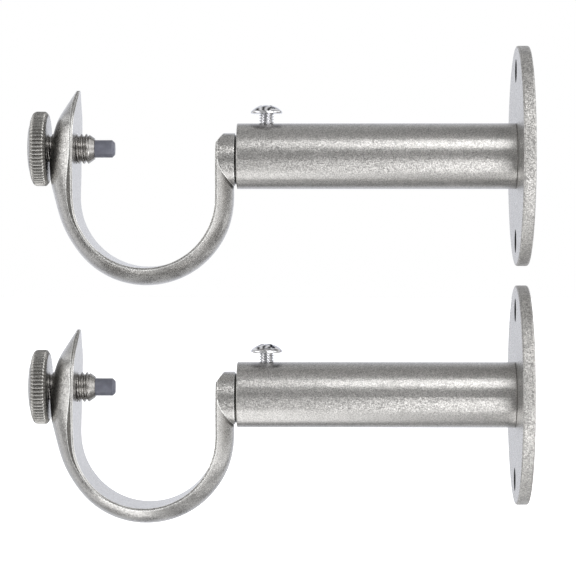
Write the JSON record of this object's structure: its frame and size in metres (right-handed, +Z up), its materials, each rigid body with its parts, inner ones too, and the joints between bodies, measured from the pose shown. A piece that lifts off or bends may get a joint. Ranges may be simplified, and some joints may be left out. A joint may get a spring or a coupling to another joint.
{
  "type": "curtain rod wall bracket pair",
  "caption": "Pair of wall brackets for a curtain rod: round plates, telescoping arms and open J hooks with knurled thumbscrews.",
  "frame": {"origin": "centre of the upper bracket's wall face, on its sleeve tube's axis", "axes": "+X into the wall, so the arms point along -X; +Z up; +Y along the wall"},
  "size_m": [0.1303, 0.0574, 0.125],
  "materials": {
    "pewter_paint": "satin pewter paint with fine metal flake",
    "stud_metal": "dull threaded steel",
    "tip_plastic": "dark slate grey, satin",
    "screw_chrome": "bright nickel plate",
    "bare_steel": "plain turned steel"
  },
  "bodies": {
    "wall_mount": {"upper_wall_plate": "pewter_paint", "upper_sleeve_tube": "pewter_paint", "upper_tube_plug": "bare_steel", "upper_plate_screw": "bare_steel", "lower_wall_plate": "pewter_paint", "lower_sleeve_tube": "pewter_paint", "lower_tube_plug": "bare_steel", "lower_plate_screw": "bare_steel"},
    "upper_arm": {"upper_stem_tube": "pewter_paint", "upper_hook": "pewter_paint"},
    "upper_tip": {"upper_stud_tip": "tip_plastic"},
    "upper_thumbscrew": {"upper_thumb_stud": "stud_metal", "upper_thumb_knob": "pewter_paint"},
    "upper_clamp_screw": {"upper_set_screw": "screw_chrome"},
    "lower_arm": {"lower_stem_tube": "pewter_paint", "lower_hook": "pewter_paint"},
    "lower_tip": {"lower_stud_tip": "tip_plastic"},
    "lower_thumbscrew": {"lower_thumb_stud": "stud_metal", "lower_thumb_knob": "pewter_paint"},
    "lower_clamp_screw": {"lower_set_screw": "screw_chrome"}
  },
  "joints": [
    {"name": "upper_arm_slide", "type": "slide", "parent": "wall_mount", "child": "upper_arm", "axis": [-1, 0, 0], "range_m": [-0.0006, 0.04]},
    {"name": "upper_thumbscrew_travel", "type": "slide", "parent": "upper_arm", "child": "upper_tip", "axis": [-1, 0, 0], "range_m": [-0.00017, 0.0075]},
    {"name": "upper_thumbscrew_turn", "type": "hinge", "parent": "upper_tip", "child": "upper_thumbscrew", "pos_m": [-0.1254, 0, 0.00195], "axis": [-1, 0, 0], "range_deg": [-50, 2159]},
    {"name": "upper_set_screw_travel", "type": "slide", "parent": "wall_mount", "child": "upper_clamp_screw", "axis": [0, 0, 1], "range_m": [0, 0.0016]},
    {"name": "lower_arm_slide", "type": "slide", "parent": "wall_mount", "child": "lower_arm", "axis": [-1, 0, 0], "range_m": [-0.0006, 0.04]},
    {"name": "lower_thumbscrew_travel", "type": "slide", "parent": "lower_arm", "child": "lower_tip", "axis": [-1, 0, 0], "range_m": [-0.00017, 0.0075]},
    {"name": "lower_thumbscrew_turn", "type": "hinge", "parent": "lower_tip", "child": "lower_thumbscrew", "pos_m": [-0.1254, 0, -0.06055], "axis": [-1, 0, 0], "range_deg": [-50, 2159]},
    {"name": "lower_set_screw_travel", "type": "slide", "parent": "wall_mount", "child": "lower_clamp_screw", "axis": [0, 0, 1], "range_m": [0, 0.0016]}
  ],
  "couplings": [
    {"joint": "upper_thumbscrew_travel", "follows": "upper_thumbscrew_turn", "m_per_rad": 0.00019894},
    {"joint": "lower_thumbscrew_travel", "follows": "lower_thumbscrew_turn", "m_per_rad": 0.00019894}
  ]
}
